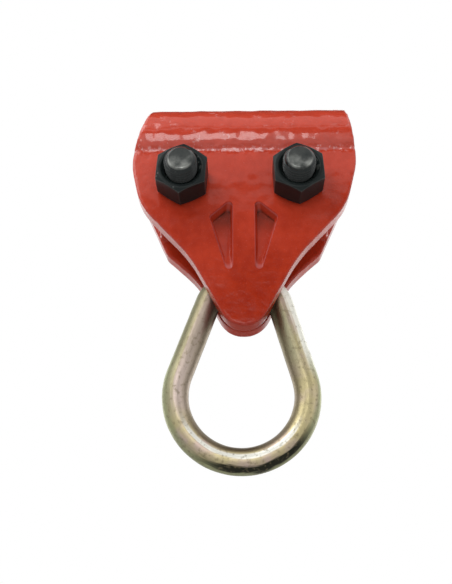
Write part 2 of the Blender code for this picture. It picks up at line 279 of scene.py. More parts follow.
# Corners of the outlines: across, up, radius
OUTLINE_TOP = [(0.05253, JAW_TOP, 0.006), (-0.04603, JAW_TOP, 0.013)]
FRONT_OUTLINE = [
    (0.02585, -0.07075, 0.081), (0.05095, -0.04315, 0.033), (0.05755, -0.01735, 0.037),
]
FRONT_NOSE = (0, -0.11978, 0.012)
REAR_OUTLINE = [
    (0.02256, -0.07445, 0.060), (0.03945, -0.05885, 0.0025), (0.04845, -0.03895, 0.040),
    (0.05755, -0.01735, 0.037),
]
REAR_NOSE = (0, -0.11599, 0.014)
POCKET_CORNERS = [
    (0.00545, -0.03865, 0.002), (0.01695, -0.04895, 0.002), (0.00545, -0.0880, 0.0018),
]
POCKET_DEPTH_TOP = 0.0042
POCKET_DEPTH_TIP = 0.0012
POCKET_FLOOR_SHARE = 0.74
POCKET_LIP = 0.0004
POCKET_LIP_DEPTH = 0.0006
POCKET_SHARP_ANGLE = math.radians(35)
ARC_SEGMENTS = 16
ROUND_SEGMENTS = 96
BAND_STEPS = 60
CAST_GRAIN = 0.00065
CAST_SOFTENING = 7
SMOOTHING = 0.5
SKIN_INSET = 0.00014
SWELL_LENGTH = 0.016
SWELL_HEIGHT = 0.00016
LUMP_LENGTH = 0.0045
LUMP_HEIGHT = 0.00007
BAND_LUMPS = 2.4
GRIT_LENGTH = 0.0021
GRIT_HEIGHT = 0.00022
GRIT_REACH = 0.0022
ENAMEL_DEEP = (0.36, 0.019, 0.003, 1)
ENAMEL_BRIGHT = (0.46, 0.034, 0.007, 1)
ENAMEL_DUSTY = (0.62, 0.13, 0.11, 1)
# Paler red for painted sheen towards the top and on the undersides
ENAMEL_PAINTED_SHEEN = (0.64, 0.060, 0.028, 1)
# Pale pink for painted glints
ENAMEL_GLINT = (0.80, 0.42, 0.41, 1)
# Pale pink for painted highlights on the pocket lips, the crease and sharp edges
ENAMEL_PAINTED_HIGHLIGHT = (0.64, 0.22, 0.23, 1)
# Dark red for painted shade in the pockets
ENAMEL_PAINTED_SHADE = (0.080, 0.020, 0.012, 1)
# Spots in the enamel and in its painted glints and highlight line: how many per metre, finer
# detail, and the noise where they start and are full
ENAMEL_PATCHES = (38.0, 3.0, 0.35, 0.68)
ENAMEL_MOTTLE = (260.0, 4.0, 0.32, 0.68)
DUST_SPOTS = (1300.0, 2.0, 0.58, 0.78)
GLINT_CLUSTERS = (110.0, 3.0, 0.54, 0.66)
GLINT_FLECKS = (620.0, 3.0, 0.50, 0.72)
CREASE_HIGHLIGHT_BREAKS = (160.0, 2.0, 0.35, 0.60)
PEEL_PATCHES = 420.0
GLOSS_PATCHES = 70.0
# The painted sheen: a paler red, standing in for reflected light, that comes in towards the top
TOP_SHEEN_HEIGHTS = (-0.105, 0.02)
TOP_SHEEN_WANDER = 0.03
TOP_SHEEN_MOTTLED = 0.2
# The pockets, for their painted shade and the painted highlight on their lips
POCKET_EDGE = 0.0329
POCKET_LEAN = 0.2945
POCKET_TOP = -0.0365
POCKET_TIP = -0.0905
POCKET_FADE = 0.001
POCKET_TIP_FADE = 0.002
POCKET_MOUTH = (0.0004, 0.0008)
POCKET_BACK = (0.0047, 0.0052)
OVERHANG = (-0.45, -0.10)
SHADE_DEPTHS = (0.0025, 0.0042)
SHADE_UNDER_OVERHANG = 0.35
SHADE_DEEP = 0.9
SHADE_MOTTLED = 0.3
LIP_HIGHLIGHT_DEPTHS = (0.0009, 0.0014)
LIP_HIGHLIGHT = 0.35
# The crease under the band with its painted highlight line, the band's painted glints, painted
# highlights on sharp edges and painted sheen on the undersides
CREASE_GLINTS = (0.0006, 0.0026)
CREASE_HIGHLIGHT_LINE = (0.0002, 0.0009)
BAND_GLINTS = (-0.012, -0.011)
GLINTS_AT_CREASE = 0.5
GLINTS_ON_BAND = 0.45
EDGE_HIGHLIGHT_POINTS = (0.515, 0.58)
PAINTED_HIGHLIGHT_SHOWS = 0.45
UNDERSIDE = (-0.95, -0.55)
UNDERSIDE_PAINTED_SHEEN = 0.5
DUST_SHOWS = 0.22
ENAMEL_ROUGHNESS = 0.16
ROUGHER_PATCHES = 0.12
ROUGHER_DUST = 0.06
ROUGHER_UNDERSIDE = 0.4
ENAMEL_GLOSS = 0.18
COAT_LEAST = 0.04
COAT_ON_FACE = 0.50
COAT_FACE_HEIGHTS = (-0.06, -0.025)
COAT_ON_BAND = 0.26
COAT_BAND_HEIGHTS = (-0.0125, -0.0105)
COAT_ROUGHNESS = 0.07
ENAMEL_RELIEF = 0.00005


def new_piece(name, bm):
    """An object at the origin that takes over a finished bmesh, its faces pointing outwards."""
    bmesh.ops.recalc_face_normals(bm, faces=bm.faces)
    mesh = bpy.data.meshes.new(name)
    bm.to_mesh(mesh)
    bm.free()
    piece = bpy.data.objects.new(name, mesh)
    bpy.context.scene.collection.objects.link(piece)
    return piece


def paint(piece, material):
    """Give a piece one material."""
    piece.data.materials.clear()
    piece.data.materials.append(material)


def settle(piece):
    """Make the result of a piece's modifiers its own mesh."""
    bpy.context.view_layer.update()
    graph = bpy.context.evaluated_depsgraph_get()
    mesh = bpy.data.meshes.new_from_object(piece.evaluated_get(graph))
    piece.modifiers.clear()
    piece.data = mesh


def carve(piece, tool, operation):
    """Join a tool to a piece, cut it out, or keep only what lies inside it."""
    boolean = piece.modifiers.new("carve", "BOOLEAN")
    boolean.operation = operation
    boolean.object = tool
    boolean.solver = "EXACT"
    settle(piece)
    bpy.data.objects.remove(tool)


def block(low, high):
    """Straight-sided block between two corners."""
    bm = bmesh.new()
    size = Vector(high) - Vector(low)
    middle = (Vector(high) + Vector(low)) / 2
    bmesh.ops.create_cube(bm, size=1,
                          matrix=Matrix.Translation(middle) @ Matrix.Diagonal((*size, 1)))
    return new_piece("block", bm)


def rod(radius, near, far, x, z):
    """Round bar along Y from near to far."""
    bm = bmesh.new()
    bmesh.ops.create_cone(
        bm, cap_ends=True, segments=ROUND_SEGMENTS, radius1=radius, radius2=radius,
        depth=far - near, matrix=(Matrix.Translation((x, (near + far) / 2, z))
                                  @ Matrix.Rotation(QUARTER_TURN, 4, "X")))
    return new_piece("rod", bm)


def rounded_face(bm, corners, y):
    """Flat outline through (x, z, radius) corners, each corner an arc of its radius."""
    places = [Vector((x, y, z)) for x, z, _ in corners]
    arcs = []
    for index, (place, (_, _, radius)) in enumerate(zip(places, corners)):
        back = (places[index - 1] - place).normalized()
        ahead = (places[(index + 1) % len(places)] - place).normalized()
        turn = math.pi - back.angle(ahead)
        reach = radius * math.tan(turn / 2)
        centre = place + (back + ahead).normalized() * (radius / math.cos(turn / 2))
        start = bm.verts.new(place + back * reach)
        axis = (start.co - centre).cross(place + ahead * reach - centre)
        end = bmesh.ops.spin(bm, geom=[start], cent=centre, axis=axis, angle=turn,
                             steps=ARC_SEGMENTS)["geom_last"]
        arcs.append((start, end[0]))
    for (_, end), (start, _) in zip(arcs, arcs[1:] + arcs[:1]):
        bm.edges.new((end, start))
    bmesh.ops.edgeloop_fill(bm, edges=bm.edges[:])


def drawn_out(bm, sweep):
    """Extrude the faces of a flat outline along a sweep, and return the corners of the far end."""
    far = bmesh.ops.extrude_face_region(bm, geom=bm.faces[:])["geom"]
    far = [item for item in far if isinstance(item, bmesh.types.BMVert)]
    bmesh.ops.translate(bm, verts=far, vec=sweep)
    return far


def half_band(side):
    """Half of the pipe that grips the rope, on one side of the parting plane."""
    bm = bmesh.new()
    inner = bm.verts.new((-JAW_REACH, 0, GROOVE_RADIUS))
    outer = bm.verts.new((-JAW_REACH, 0, BAND_RADIUS))
    lip = bm.edges.new((inner, outer))
    bmesh.ops.spin(bm, geom=[inner, outer, lip], cent=(0, 0, 0), axis=(-side, 0, 0), angle=math.pi,
                   steps=BAND_STEPS)
    drawn_out(bm, (2 * JAW_REACH, 0, 0))
    return new_piece("band", bm)


def pocket(side, mirror):
    """Three-cornered pocket: a softened lip, sloping walls, a floor that rises towards its tip."""
    bm = bmesh.new()
    rounded_face(bm, [(mirror * x, z, radius) for x, z, radius in POCKET_CORNERS], side * FACE)
    flare = bm.verts[:]
    rim_verts = drawn_out(bm, (0, -side * POCKET_LIP_DEPTH, 0))
    middle = sum((vert.co for vert in rim_verts), Vector()) / len(rim_verts)
    for vert in flare:
        vert.co += (vert.co - middle).normalized() * POCKET_LIP
        vert.co.y = side * (FACE + POCKET_LIP)
    last = [face for face in bm.faces if all(vert in rim_verts for vert in face.verts)]
    floor_verts = bmesh.ops.extrude_face_region(bm, geom=last)["geom"]
    bmesh.ops.delete(bm, geom=last, context="FACES")
    top = POCKET_CORNERS[0][1]
    tip = POCKET_CORNERS[-1][1]
    for vert in floor_verts:
        if isinstance(vert, bmesh.types.BMVert):
            share = (vert.co.z - tip) / (top - tip)
            depth = POCKET_DEPTH_TIP + (POCKET_DEPTH_TOP - POCKET_DEPTH_TIP) * share
            vert.co = middle.lerp(vert.co, POCKET_FLOOR_SHARE)
            vert.co.y = side * (FACE - depth)
    return new_piece("pocket", bm)


def soften(piece, grain, passes):
    """Turn a sharp solid into one skin of even grain and round its edges."""
    remesh = piece.modifiers.new("skin", "REMESH")
    remesh.mode = "VOXEL"
    remesh.voxel_size = grain
    settle(piece)
    bm = bmesh.new()
    bm.from_mesh(piece.data)
    for _ in range(passes):
        bmesh.ops.smooth_vert(bm, verts=bm.verts, factor=SMOOTHING, use_axis_x=True,
                              use_axis_y=True, use_axis_z=True)
    bm.to_mesh(piece.data)
    bm.free()
    piece.data.shade_smooth()


def lift(bm, height):
    """Move each point of a skin along its normal by a height that depends on its place."""
    bm.normal_update()
    moves = [vert.normal * height(vert.co) for vert in bm.verts]
    for vert, move in zip(bm.verts, moves):
        vert.co += move


def casting_skin(spot):
    """Height of the casting's skin: swells, lumps, and grit along the crease under the band."""
    swell = SWELL_HEIGHT * noise.noise(spot / SWELL_LENGTH)
    lump = LUMP_HEIGHT * noise.noise(spot / LUMP_LENGTH)
    if spot.z > CREASE_Z:
        lump *= BAND_LUMPS
    near_crease = math.exp(-((spot.z - CREASE_Z) / GRIT_REACH) ** 2)
    grit = GRIT_HEIGHT * near_crease * noise.noise(spot / GRIT_LENGTH)
    return swell + lump + grit - SKIN_INSET


def jaw(name, side, nose, outline):
    """Cast jaw: side is -1 for the front one and 1 for the rear one."""
    near, far = sorted((side * PARTING, side * FACE))
    body = half_band(side)
    body.name = name
    carve(body, block((-JAW_REACH, near, SLOT_TOP), (JAW_REACH, far, CREASE_Z)), "UNION")
    near, far = sorted((side * SLOT, side * FACE))
    carve(body, block((-JAW_REACH, near, JAW_BOTTOM), (JAW_REACH, far, RELIEF_TOP)), "UNION")
    rim = bmesh.new()
    left = [(-x, z, radius) for x, z, radius in reversed(outline)]
    rounded_face(rim, [nose, *outline, *OUTLINE_TOP, *left], side * PARTING)
    drawn_out(rim, (0, side * JAW_REACH, 0))
    carve(body, new_piece("rim", rim), "INTERSECT")
    for bolt_x in BOLT_PLACES.values():
        hole = rod(BOLT_HOLE_RADIUS, -JAW_REACH, JAW_REACH, bolt_x, BOLT_Z)
        carve(body, hole, "DIFFERENCE")
    for mirror in (-1, 1):
        low_x, high_x = sorted((mirror * LAND_SIDE, mirror * JAW_REACH))
        relief = block((low_x, -SLOT, SLOT_TOP - SLOT), (high_x, SLOT, RELIEF_TOP))
        carve(body, relief, "DIFFERENCE")
    socket = rod(PIN_SOCKET_RADIUS, -PIN_SOCKET_END, PIN_SOCKET_END, 0, PIN_Z)
    carve(body, socket, "DIFFERENCE")
    soften(body, CAST_GRAIN, CAST_SOFTENING)
    skin = bmesh.new()
    skin.from_mesh(body.data)
    lift(skin, casting_skin)
    skin.to_mesh(body.data)
    skin.free()
    for mirror in (-1, 1):
        carve(body, pocket(side, mirror), "DIFFERENCE")
    body.data.set_sharp_from_angle(angle=POCKET_SHARP_ANGLE)
    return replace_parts(body, name.removesuffix("_casting"))


def spots(place, scale, detail, low, high):
    """Noise cut to spots: 0 where it is below low, 1 where it is above high."""
    return speckle(place, scale, detail).rise(low, high)


red_enamel, shade, place = new_finish("red_enamel")
across = place.part("X").size()
depth = FACE - place.part("Y").size()
up = place.part("Z")
facing = shade.node("ShaderNodeNewGeometry", {}, {}, "Normal").part("Z")
patches = spots(place, *ENAMEL_PATCHES)
mottle = spots(place, *ENAMEL_MOTTLE)
dust = spots(place, *DUST_SPOTS)
enamel = (0.5 * patches + 0.5 * mottle).mix(ENAMEL_DEEP, ENAMEL_BRIGHT)
# Painted sheen: the enamel turns paler towards the top, standing in for reflected light
painted_top_sheen = ((up + TOP_SHEEN_WANDER * patches).rise(*TOP_SHEEN_HEIGHTS)
         * (1 - TOP_SHEEN_MOTTLED + TOP_SHEEN_MOTTLED * mottle))
enamel = painted_top_sheen.mix(enamel, ENAMEL_PAINTED_SHEEN)
in_pocket = ((POCKET_EDGE + POCKET_LEAN * up - across).rise(0, POCKET_FADE)
             * up.fall(POCKET_TOP - POCKET_FADE, POCKET_TOP)
             * up.rise(POCKET_TIP, POCKET_TIP + POCKET_TIP_FADE)
             * depth.rise(*POCKET_MOUTH) * depth.fall(*POCKET_BACK))
# Painted shade: the pockets darken on walls that face down and where they are deepest
pocket_painted_shade = (in_pocket
         * (SHADE_UNDER_OVERHANG * facing.fall(*OVERHANG) + SHADE_DEEP * depth.rise(*SHADE_DEPTHS))
         * (1 - SHADE_MOTTLED + SHADE_MOTTLED * mottle))
enamel = pocket_painted_shade.mix(enamel, ENAMEL_PAINTED_SHADE)
# Painted highlight: a pale line along the shallow lip of each pocket
enamel = (LIP_HIGHLIGHT * in_pocket * depth.fall(*LIP_HIGHLIGHT_DEPTHS)).mix(enamel, ENAMEL_PAINTED_HIGHLIGHT)
from_crease = (up - CREASE_Z).size()
# Painted glints: pale specks near the crease and in clusters on the band
on_band = up.rise(*BAND_GLINTS) * spots(place, *GLINT_CLUSTERS)
painted_glints = spots(place, *GLINT_FLECKS) * (GLINTS_AT_CREASE * from_crease.fall(*CREASE_GLINTS)
                                        + GLINTS_ON_BAND * on_band)
enamel = painted_glints.mix(enamel, ENAMEL_GLINT)
# Painted highlights: a broken pale line along the crease, and pale enamel on sharp edges
crease_highlight = from_crease.fall(*CREASE_HIGHLIGHT_LINE) * spots(place, *CREASE_HIGHLIGHT_BREAKS)
edge_highlight = shade.node("ShaderNodeNewGeometry", {}, {}, "Pointiness").rise(*EDGE_HIGHLIGHT_POINTS)
enamel = (PAINTED_HIGHLIGHT_SHOWS * crease_highlight + PAINTED_HIGHLIGHT_SHOWS * edge_highlight).mix(enamel, ENAMEL_PAINTED_HIGHLIGHT)
underside = facing.fall(*UNDERSIDE)
# Painted reflection: faces that look down turn paler red, standing in for the pale floor they
# mirror
enamel = (UNDERSIDE_PAINTED_SHEEN * underside).mix(enamel, ENAMEL_PAINTED_SHEEN)
set_surface(red_enamel, shade, {
    "Base Color": (DUST_SHOWS * dust).mix(enamel, ENAMEL_DUSTY),
    "Roughness": (ENAMEL_ROUGHNESS + ROUGHER_PATCHES * speckle(place, GLOSS_PATCHES)
                  + ROUGHER_DUST * dust + ROUGHER_UNDERSIDE * underside),
    "Specular IOR Level": ENAMEL_GLOSS,
    "Coat Weight": (COAT_LEAST + COAT_ON_FACE * up.rise(*COAT_FACE_HEIGHTS)
                    + COAT_ON_BAND * up.rise(*COAT_BAND_HEIGHTS)),
    "Coat Roughness": COAT_ROUGHNESS,
}, speckle(place, PEEL_PATCHES) + mottle, ENAMEL_RELIEF)

rear_casting = jaw("rear_jaw_casting", 1, REAR_NOSE, REAR_OUTLINE)
front_casting = jaw("front_jaw_casting", -1, FRONT_NOSE, FRONT_OUTLINE)
paint(rear_casting, red_enamel)
paint(front_casting, red_enamel)
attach(rear_casting, "clamp")
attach(front_casting, "front_jaw")


# Pin: a short turned steel bar that sits in a socket in each jaw's nose and carries the link.
# It is bare, with the fine rings of the lathe, and shows only through the slot.
PIN_RADIUS = 0.007
PIN_HALF_LENGTH = 0.0106
PIN_CHAMFER = 0.001
PIN_FACE = PIN_RADIUS - PIN_CHAMFER
PIN_SIDE = PIN_HALF_LENGTH - PIN_CHAMFER
PIN_SHARP_ANGLE = math.radians(30)
MERGE_DISTANCE = 1e-6
STEEL_PALE = (0.40, 0.39, 0.38, 1)
STEEL_DARK = (0.22, 0.215, 0.21, 1)
STAINS = (180.0, 3.0)
LATHE_STRETCH = (0.05, 1, 0.05)
LATHE_RINGS = 3000.0
LATHE_DEPTH = 0.00002
PIN_ROUGHNESS = 0.28
ROUGHER_RINGS = 0.2


def turned(profile, x, z):
    """Shape turned about an axis along Y from (radius, y) points that start and end on it."""
    bm = bmesh.new()
    verts = [bm.verts.new((radius, y, 0)) for radius, y in profile]
    edges = [bm.edges.new(pair) for pair in zip(verts, verts[1:])]
    bmesh.ops.spin(bm, geom=verts + edges, cent=(0, 0, 0), axis=(0, 1, 0), angle=math.tau,
                   steps=ROUND_SEGMENTS, use_merge=True)
    bmesh.ops.remove_doubles(bm, verts=bm.verts, dist=MERGE_DISTANCE)
    bmesh.ops.translate(bm, verts=bm.verts, vec=(x, 0, z))
    return new_piece("turned", bm)


pin_steel, shade, place = new_finish("pin_steel")
stretched = shade.node("ShaderNodeMapping", {}, {"Vector": place, "Scale": LATHE_STRETCH})
rings = speckle(stretched, LATHE_RINGS)
set_surface(pin_steel, shade, {
    "Base Color": speckle(place, *STAINS).mix(STEEL_PALE, STEEL_DARK),
    "Metallic": 1.0,
    "Roughness": PIN_ROUGHNESS + ROUGHER_RINGS * rings,
}, rings, LATHE_DEPTH)

pin = turned([
    (0, -PIN_HALF_LENGTH), (PIN_FACE, -PIN_HALF_LENGTH), (PIN_RADIUS, -PIN_SIDE),
    (PIN_RADIUS, PIN_SIDE), (PIN_FACE, PIN_HALF_LENGTH), (0, PIN_HALF_LENGTH),
], 0, PIN_Z)
pin.name = "turned_pin"
pin.data.set_sharp_from_angle(angle=PIN_SHARP_ANGLE)
paint(pin, pin_steel)
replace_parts(pin, "link_pin")
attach(pin, "clamp")


# Pear link: one round bar, bent narrow over the pin and wide below, its ends welded and dressed
# flush. It is zinc plated and passivated, so the gold turns pink in clouds and brown in pits, and
# it is greener along its outer side. Painted highlights, sheen, shade and a dark reflection lie on
# the limbs and the foot.
LINK_ROD_RADIUS = 0.0063
LINK_NARROW_RADIUS = 0.01865
LINK_WIDE_RADIUS = 0.0308
LINK_NARROW_Z = -0.0951006
LINK_WIDE_Z = -0.1348506
LINK_SPREAD = math.asin((LINK_WIDE_RADIUS - LINK_NARROW_RADIUS) / (LINK_NARROW_Z - LINK_WIDE_Z))
LINK_LIMB = (LINK_NARROW_Z - LINK_WIDE_Z) * math.cos(LINK_SPREAD)
LINK_NARROW_TURN = QUARTER_TURN - LINK_SPREAD
LINK_NARROW_BEND = LINK_NARROW_RADIUS * LINK_NARROW_TURN
LINK_HANG = math.radians(2)
LINK_SIDES = 56
LINK_BEND_STEPS = 40
LINK_LIMB_STEPS = 36
LINK_DENT_LENGTH = 0.006
LINK_DENT_HEIGHT = 0.00007
GOLD = (0.44, 0.38, 0.21, 1)
GOLD_PINK = (0.45, 0.35, 0.31, 1)
GOLD_GREEN = (0.27, 0.29, 0.16, 1)
# Below: brown for pits and for painted shade, silver for painted highlights, mauve for painted
# sheen, olive for painted shade and black for a painted dark reflection
GOLD_BROWN_PITS_AND_SHADE = (0.17, 0.14, 0.085, 1)
GOLD_PAINTED_HIGHLIGHT = (0.76, 0.75, 0.68, 1)
GOLD_PAINTED_SHEEN = (0.50, 0.41, 0.36, 1)
GOLD_PAINTED_SHADE = (0.29, 0.27, 0.17, 1)
GOLD_PAINTED_DARK_REFLECTION = (0.025, 0.025, 0.018, 1)
CLOUDS = (75.0, 3.0)
PITS = (560.0, 4.0)
STREAKS = (1.6, 4.0)
STREAKS_ALONG = 25
STREAKS_OUTWARD = 2.5
STREAKS_ACROSS = 40
STREAKS_WANDER = 0.7
NOISE_MIDDLE = 0.5
# Where the limbs and the foot lie: across the link, or along the bar from the top of the link
LIMB_SIDES = (0.004, 0.012)
RIGHT_LIMB_END = (0.065, 0.085)
LEFT_LIMB_END = (0.072, 0.092)
UPPER_END = (0.046, 0.066)
FOOT_START = (0.080, 0.095)
DARK_FOOT_START = (-0.022, 0.004)
DARK_FOOT_WANDER = 0.02
# Where the green and the painted highlights, sheen, shade and dark reflection lie around the bar,
# from -1 at its inner side to 1 at its outer side
LEFT_SHEEN = (0.05, 0.35)
LEFT_SHADE = (0.05, 0.40)
OUTER_GREEN = (0.40, 0.80)
RIGHT_SHADE = (-0.25, 0.15)
RIGHT_HIGHLIGHT = (0.15, 0.5)
INNER_SHADE = (-0.9, -0.30)
FOOT_HIGHLIGHT_START = (-0.45, -0.30)
FOOT_HIGHLIGHT_END = (-0.15, 0.05)
FOOT_SHADE = (-0.60, -0.42)
FOOT_DARK_REFLECTION_START = (0.38, 0.55)
FOOT_DARK_REFLECTION_END = (0.83, 0.98)
# How strongly the green and the painted shade and highlights show, and the noise where clouds turn
# pink and pits brown
GREEN_SHOWS = 0.85
LEFT_UPPER_SHADE_SHOWS = 0.45
RIGHT_HIGHLIGHT_SHOWS = 0.9
INNER_SHADE_SHOWS = 0.75
INNER_SHADE_LESS_LEFT = 0.20
FOOT_SHADE_SHOWS = 0.6
PITS_SHOW = 0.55
PINK_CLOUDS = (0.35, 0.65)
BROWN_PITS = (0.52, 0.70)
LINK_ROUGHNESS = 0.30
ROUGHER_CLOUDS = 0.14
ROUGHER_PITS = 0.10
LINK_RELIEF = 0.00008


def link_dents(spot):
    """Height of the link's skin: shallow dents, never above the bar's own size."""
    return LINK_DENT_HEIGHT * (noise.noise(spot / LINK_DENT_LENGTH) - 1)


bm = bmesh.new()
bmesh.ops.create_circle(
    bm, segments=LINK_SIDES, radius=LINK_ROD_RADIUS,
    matrix=(Matrix.Translation((0, 0, LINK_NARROW_Z + LINK_NARROW_RADIUS))
            @ Matrix.Rotation(QUARTER_TURN, 4, "Y")))
ring = bmesh.ops.spin(bm, geom=bm.verts[:] + bm.edges[:], cent=(0, 0, LINK_NARROW_Z),
                      axis=(0, 1, 0), angle=LINK_NARROW_TURN, steps=LINK_BEND_STEPS)["geom_last"]
limb_way = Vector((math.sin(LINK_SPREAD), 0, -math.cos(LINK_SPREAD)))
limb_step = limb_way * LINK_LIMB / LINK_LIMB_STEPS
for _ in range(LINK_LIMB_STEPS):
    edges = [item for item in ring if isinstance(item, bmesh.types.BMEdge)]
    grown = bmesh.ops.extrude_edge_only(bm, edges=edges)["geom"]
    moved = [item for item in grown if isinstance(item, bmesh.types.BMVert)]
    bmesh.ops.translate(bm, verts=moved, vec=limb_step)
    ring = moved + [item for item in grown if isinstance(item, bmesh.types.BMEdge)
                    and all(vert in moved for vert in item.verts)]
bmesh.ops.spin(bm, geom=ring, cent=(0, 0, LINK_WIDE_Z), axis=(0, 1, 0),
               angle=QUARTER_TURN + LINK_SPREAD, steps=LINK_BEND_STEPS)
bmesh.ops.mirror(bm, geom=bm.verts[:] + bm.edges[:] + bm.faces[:], axis="X",
                 merge_dist=MERGE_DISTANCE)
bmesh.ops.remove_doubles(bm, verts=bm.verts, dist=MERGE_DISTANCE)
bmesh.ops.recalc_face_normals(bm, faces=bm.faces)
outward = bm.verts.layers.float.new("outward")
along = bm.verts.layers.float.new("along")
for vert in bm.verts:
    beside = abs(vert.co.x)
    from_narrow = Vector((beside, vert.co.z - LINK_NARROW_Z))
    from_wide = Vector((beside, vert.co.z - LINK_WIDE_Z))
    if from_narrow.y > beside * math.tan(LINK_SPREAD):
        vert[outward] = (from_narrow.length - LINK_NARROW_RADIUS) / LINK_ROD_RADIUS
        vert[along] = LINK_NARROW_RADIUS * math.atan2(beside, from_narrow.y)
    elif from_wide.y < beside * math.tan(LINK_SPREAD):
        vert[outward] = (from_wide.length - LINK_WIDE_RADIUS) / LINK_ROD_RADIUS
        turn = math.atan2(beside, from_wide.y) - LINK_NARROW_TURN
        vert[along] = LINK_NARROW_BEND + LINK_LIMB + LINK_WIDE_RADIUS * turn
    else:
        normal = Vector((math.cos(LINK_SPREAD), math.sin(LINK_SPREAD)))
        ahead = Vector((math.sin(LINK_SPREAD), -math.cos(LINK_SPREAD)))
        vert[outward] = (from_narrow.dot(normal) - LINK_NARROW_RADIUS) / LINK_ROD_RADIUS
        vert[along] = LINK_NARROW_BEND + from_narrow.dot(ahead)
lift(bm, link_dents)
bmesh.ops.rotate(bm, verts=bm.verts, cent=(0, 0, PIN_Z), matrix=Matrix.Rotation(LINK_HANG, 3, "Y"))
link = new_piece("bent_link", bm)
link.data.shade_smooth()

gold_zinc, shade, place = new_finish("gold_zinc")
outward = shade.node("ShaderNodeAttribute", {"attribute_name": "outward"}, {}, "Fac")
along = shade.node("ShaderNodeAttribute", {"attribute_name": "along"}, {}, "Fac")
across = place.part("X")
drawn = shade.node("ShaderNodeCombineXYZ", {}, {
    "X": STREAKS_ALONG * along, "Y": STREAKS_OUTWARD * outward, "Z": STREAKS_ACROSS * across})
streaks = speckle(drawn, *STREAKS)
clouds = speckle(place, *CLOUDS)
pits = speckle(place, *PITS)
wander = outward + STREAKS_WANDER * (streaks - NOISE_MIDDLE)
right_limb = across.rise(*LIMB_SIDES) * along.fall(*RIGHT_LIMB_END)
left_limb = (0 - across).rise(*LIMB_SIDES) * along.fall(*LEFT_LIMB_END)
upper = along.fall(*UPPER_END)
foot = along.rise(*FOOT_START)
dark_foot = foot * (across + DARK_FOOT_WANDER * streaks).rise(*DARK_FOOT_START)
# Painted highlight: a bright streak along the foot, on the inner side of its middle
foot_highlight = outward.rise(*FOOT_HIGHLIGHT_START) * wander.fall(*FOOT_HIGHLIGHT_END)
# Painted dark reflection: a black band on the outer lower side of the foot
foot_dark_reflection = wander.rise(*FOOT_DARK_REFLECTION_START) * wander.fall(*FOOT_DARK_REFLECTION_END)
# Painted shade on the inner side of the bar, a little less on the left limb
inner_shade = INNER_SHADE_SHOWS - INNER_SHADE_LESS_LEFT * left_limb
tone = clouds.rise(*PINK_CLOUDS).mix(GOLD, GOLD_PINK)
# Tints over the gold: painted sheen and painted shade on the left limb, green along the outer side,
# painted shade near the jaws and on the inner side, painted highlights on the right limb and the
# foot, a painted dark reflection on the foot, and brown pits
for where, tint in [
    (left_limb * wander.fall(*LEFT_SHEEN), GOLD_PAINTED_SHEEN),
    (left_limb * wander.rise(*LEFT_SHADE), GOLD_PAINTED_SHADE),
    (GREEN_SHOWS * wander.rise(*OUTER_GREEN), GOLD_GREEN),
    (LEFT_UPPER_SHADE_SHOWS * left_limb * upper, GOLD_BROWN_PITS_AND_SHADE),
    (right_limb * upper * wander.fall(*RIGHT_SHADE), GOLD_PAINTED_SHADE),
    (RIGHT_HIGHLIGHT_SHOWS * right_limb * upper * wander.rise(*RIGHT_HIGHLIGHT), GOLD_PAINTED_HIGHLIGHT),
    (inner_shade * wander.fall(*INNER_SHADE), GOLD_BROWN_PITS_AND_SHADE),
    (foot * foot_highlight, GOLD_PAINTED_HIGHLIGHT),
    (FOOT_SHADE_SHOWS * foot * outward.fall(*FOOT_SHADE), GOLD_BROWN_PITS_AND_SHADE),
    (dark_foot * foot_dark_reflection, GOLD_PAINTED_DARK_REFLECTION),
    (PITS_SHOW * pits.rise(*BROWN_PITS), GOLD_BROWN_PITS_AND_SHADE),
]:
    tone = where.mix(tone, tint)
set_surface(gold_zinc, shade, {
    "Base Color": tone,
    "Metallic": 1.0,
    "Roughness": LINK_ROUGHNESS + ROUGHER_CLOUDS * clouds + ROUGHER_PITS * pits,
}, pits + streaks, LINK_RELIEF)
paint(link, gold_zinc)
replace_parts(link, "pear_link")
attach(link, "pear_link")


# Bolts: two forged hexagon-head bolts through both jaws, their heads on the rear jaw.
# They are blackened, with a rolled thread and a turned end that stands out of the nut, worn grey,
# with painted highlights on the thread's crests and towards the lower side of the end.
BOLT_RADIUS = 0.008
THREAD_ROOT = 0.0069
THREAD_PITCH = 0.002
THREAD_PROFILE = [
    # radius, share of the pitch
    (THREAD_ROOT, 0), (THREAD_ROOT, 0.18), (BOLT_RADIUS, 0.46),
    (BOLT_RADIUS, 0.60), (THREAD_ROOT, 0.88), (THREAD_ROOT, 1),
]
THREAD_STEPS = 48
THREAD_SPARE_TURNS = 2
THREAD_START = -0.012
SHANK_START = -0.0125
BOLT_END = -0.03908
BOLT_END_RADIUS = 0.0057
BOLT_END_CHAMFER = 0.0026
HEX_WIDTH = 0.024
HEX_CORNER = HEX_WIDTH / math.sqrt(3)
HEX_ALLOWANCE = 0.001
HEX_OUTER = HEX_CORNER + HEX_ALLOWANCE
HEX_FACE_SHARE = 0.95
HEX_FACE = HEX_FACE_SHARE * HEX_WIDTH / 2
HEX_CHAMFER_ANGLE = math.radians(28)
HEX_CHAMFER_FALL = (HEX_OUTER - HEX_FACE) * math.tan(HEX_CHAMFER_ANGLE)
HEAD_SEAT = 0.0167
HEAD_TOP = 0.02668
STEEL_GRAIN = 0.00028
STEEL_SOFTENING = 2
STEEL_INSET = 0.00002
OXIDE_BLACK = (0.009, 0.0135, 0.0135, 1)
OXIDE_BROWN = (0.017, 0.0205, 0.0195, 1)
